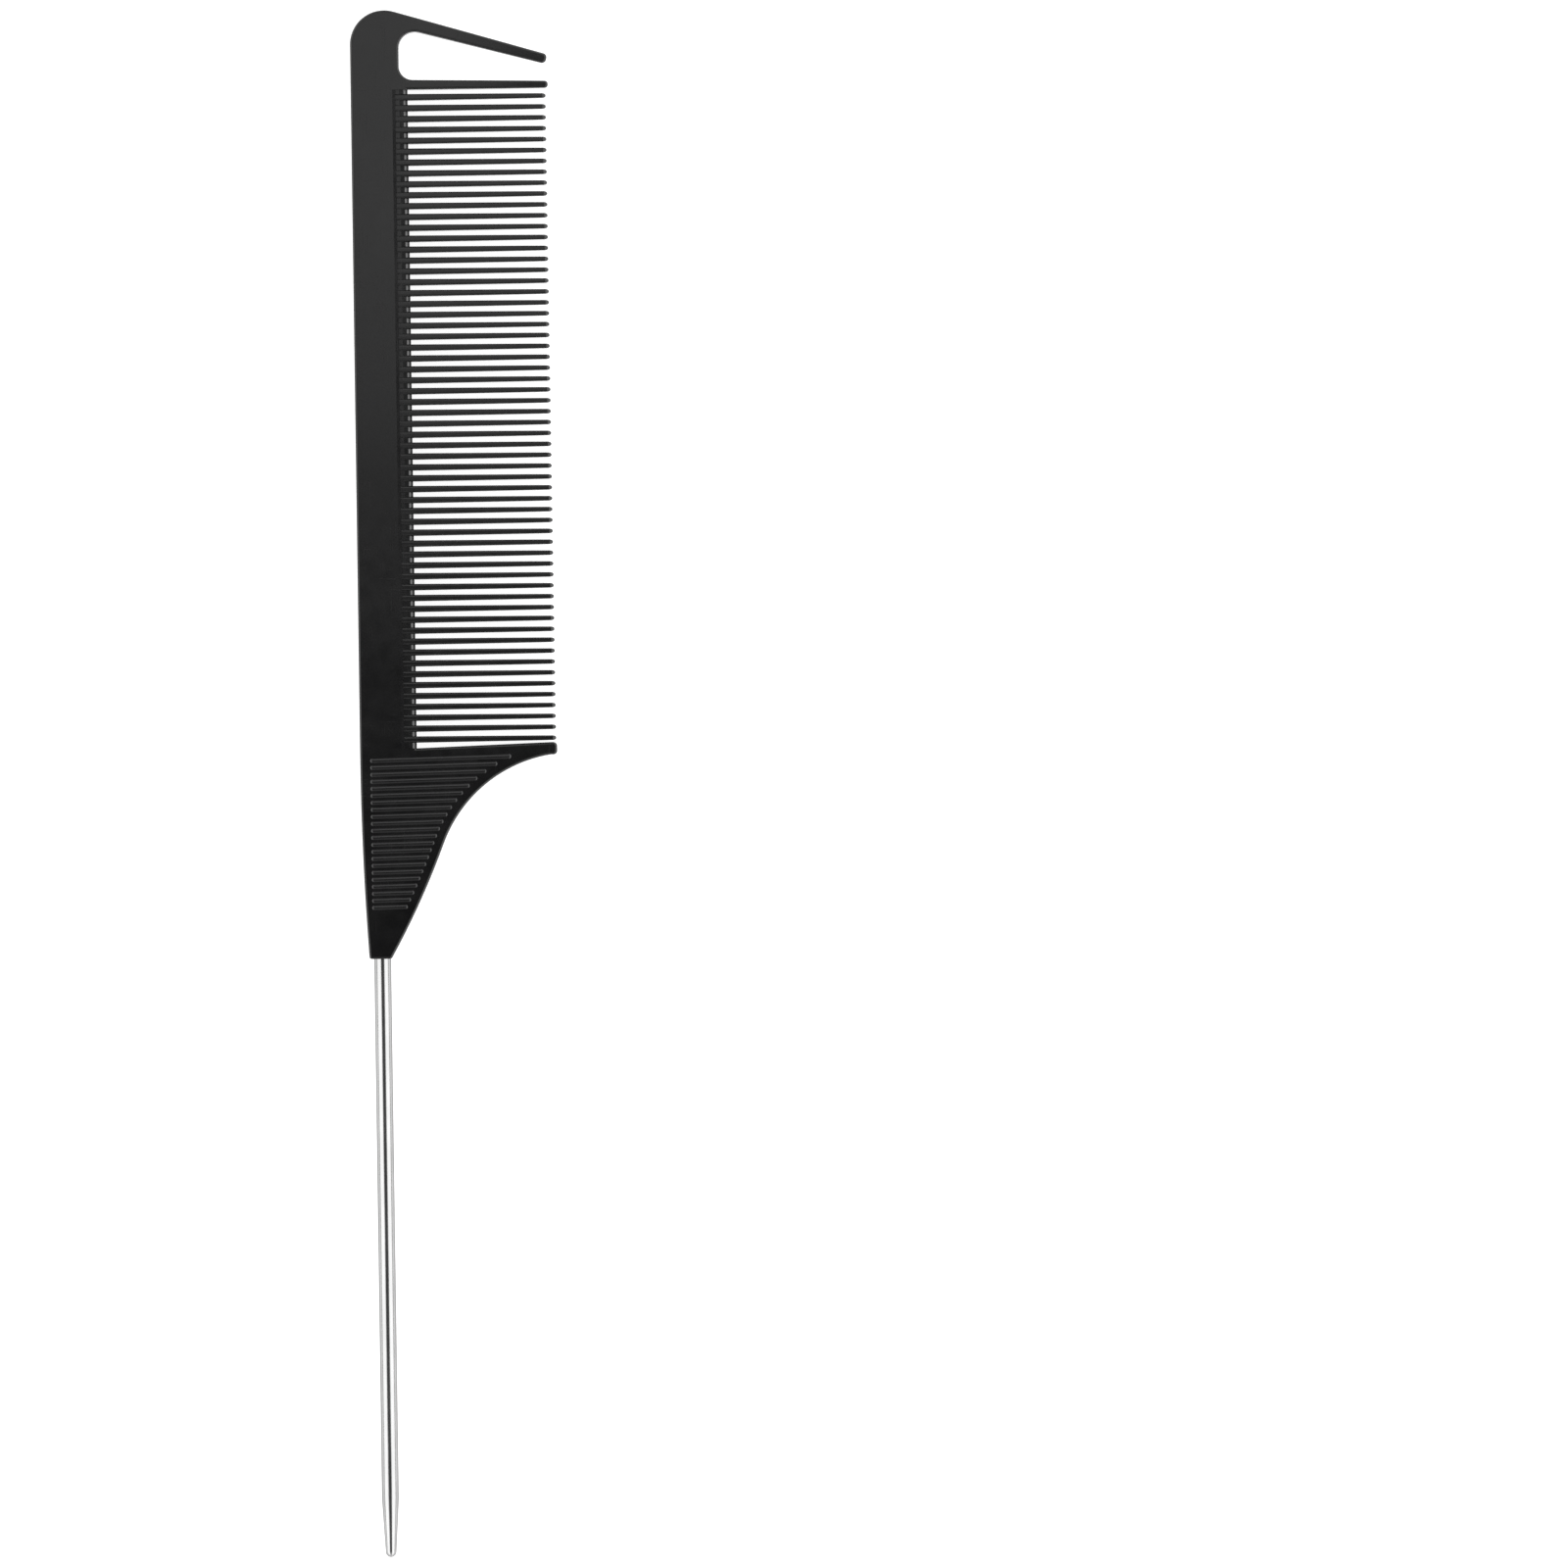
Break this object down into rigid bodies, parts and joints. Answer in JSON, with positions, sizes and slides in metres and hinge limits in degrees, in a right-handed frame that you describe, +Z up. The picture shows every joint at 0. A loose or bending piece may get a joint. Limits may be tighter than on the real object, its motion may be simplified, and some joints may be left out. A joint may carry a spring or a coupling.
{
  "type": "rat tail comb",
  "caption": "Hairdresser's comb: a flat black moulding with a hooked parting arm, a row of fine teeth and a ribbed grip, moulded around a slim round steel tail for sectioning hair.",
  "frame": {"origin": "middle of the comb's bounding box at its underside, which is the crests of the lower grip ribs, with the comb lying flat", "axes": "+Y along the comb towards its hook end, so that the steel tail points along -Y; +X from the straight back edge towards the tooth tips; +Z up through the thickness"},
  "size_m": [0.0306, 0.24, 0.0042],
  "materials": {
    "comb_plastic": "black carbon-filled nylon, semi-matte moulded surface",
    "tail_steel": "centreless-ground stainless steel wire, polished, rounded tip"
  },
  "bodies": {
    "root": {"hook_head": "comb_plastic", "parting_arm": "comb_plastic", "upper_end_tooth": "comb_plastic", "spine": "comb_plastic", "fine_teeth": "comb_plastic", "grip": "comb_plastic", "tail_pin": "tail_steel"}
  },
  "joints": []
}
